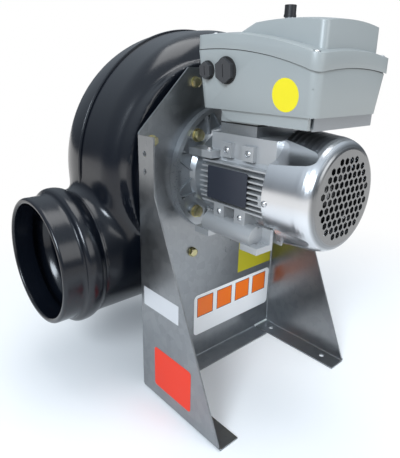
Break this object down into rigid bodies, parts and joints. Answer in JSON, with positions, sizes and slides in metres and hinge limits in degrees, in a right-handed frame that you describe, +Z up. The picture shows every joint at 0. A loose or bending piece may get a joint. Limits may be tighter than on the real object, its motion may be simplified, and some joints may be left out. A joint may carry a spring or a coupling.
{
  "type": "industrial centrifugal blower",
  "caption": "Direct-driven centrifugal blower: moulded volute casing with round outlet and inlet spigots, flanged motor with speed drive, folded sheet stand.",
  "frame": {"origin": "centre of the rectangle of the four base bolt holes, at floor level", "axes": "+Z is up, -X along the outlet's flow out of the mouth, +Y along the shaft from the motor to the inlet collar"},
  "size_m": [0.5375, 0.5246, 0.5678],
  "materials": {
    "casing_plastic": "black moulded polyethylene with a soft sheen",
    "galvanised_sheet": "galvanised sheet, satin",
    "motor_paint": "silver paint on cast aluminium",
    "cast_aluminium": "cast, lightly blasted",
    "bright_sheet": "bright zinc plated sheet",
    "drive_shell": "light grey powder coat",
    "yellow_zinc": "yellow zinc plated steel",
    "zinc_screw": "clear zinc plated steel",
    "machined_steel": "turned and ground steel",
    "lamination": "stacked laminations",
    "copper_winding": "varnished copper",
    "black_rubber": "matt rubber",
    "dark_plastic": "dark grey moulded plastic",
    "impeller_plastic": "grey moulded polypropylene",
    "circuit_board": "lacquered board",
    "knob_plastic": "black knob with a blue pointer"
  },
  "bodies": {
    "root": {"support_stand": "galvanised_sheet", "panel_bolts": "yellow_zinc", "flange_bolts": "yellow_zinc", "flange_nuts": "yellow_zinc", "casing_back_plate": "casing_plastic", "casing_shaft_seal": "black_rubber", "casing_drive_half": "casing_plastic", "casing_inlet_half": "casing_plastic", "inlet_nozzle": "impeller_plastic", "nozzle_screws": "zinc_screw", "motor_flange": "cast_aluminium", "shield_screws": "zinc_screw", "motor_frame": "motor_paint", "rear_end_shield": "cast_aluminium", "stator_core": "lamination", "stator_windings": "copper_winding", "front_bearing_outer": "machined_steel", "rear_bearing_outer": "machined_steel", "motor_shaft_seal": "black_rubber", "foot_left": "motor_paint", "foot_right": "motor_paint", "foot_screws": "zinc_screw", "pad_screws": "zinc_screw", "fan_cover": "bright_sheet", "cover_screws": "zinc_screw", "earth_screw": "zinc_screw", "drive_adapter": "cast_aluminium", "adapter_gasket": "black_rubber", "drive_housing": "drive_shell", "heat_sink": "cast_aluminium", "lid_gasket": "black_rubber", "drive_lid": "drive_shell", "lid_screws": "zinc_screw", "drive_board": "circuit_board", "small_plug": "dark_plastic", "large_plug": "dark_plastic", "plug_washers": "black_rubber", "knob_bush": "machined_steel"},
    "rotor": {"motor_shaft": "machined_steel", "shaft_key": "machined_steel", "rotor_core": "lamination", "front_bearing_inner": "machined_steel", "rear_bearing_inner": "machined_steel", "bearing_balls": "machined_steel", "cooling_fan": "dark_plastic", "impeller": "impeller_plastic", "impeller_hub": "cast_aluminium", "hub_screws": "zinc_screw", "hub_washer": "machined_steel", "hub_bolt": "zinc_screw"},
    "knob": {"speed_knob": "knob_plastic"}
  },
  "joints": [
    {"name": "impeller_spin", "type": "hinge", "parent": "root", "child": "rotor", "pos_m": [0, 0.087, 0.344], "axis": [0, 1, 0], "continuous": true},
    {"name": "knob_turn", "type": "hinge", "parent": "root", "child": "knob", "pos_m": [-0.025, -0.05, 0.56], "axis": [0, 0, 1], "range_deg": [-135, 135]}
  ]
}
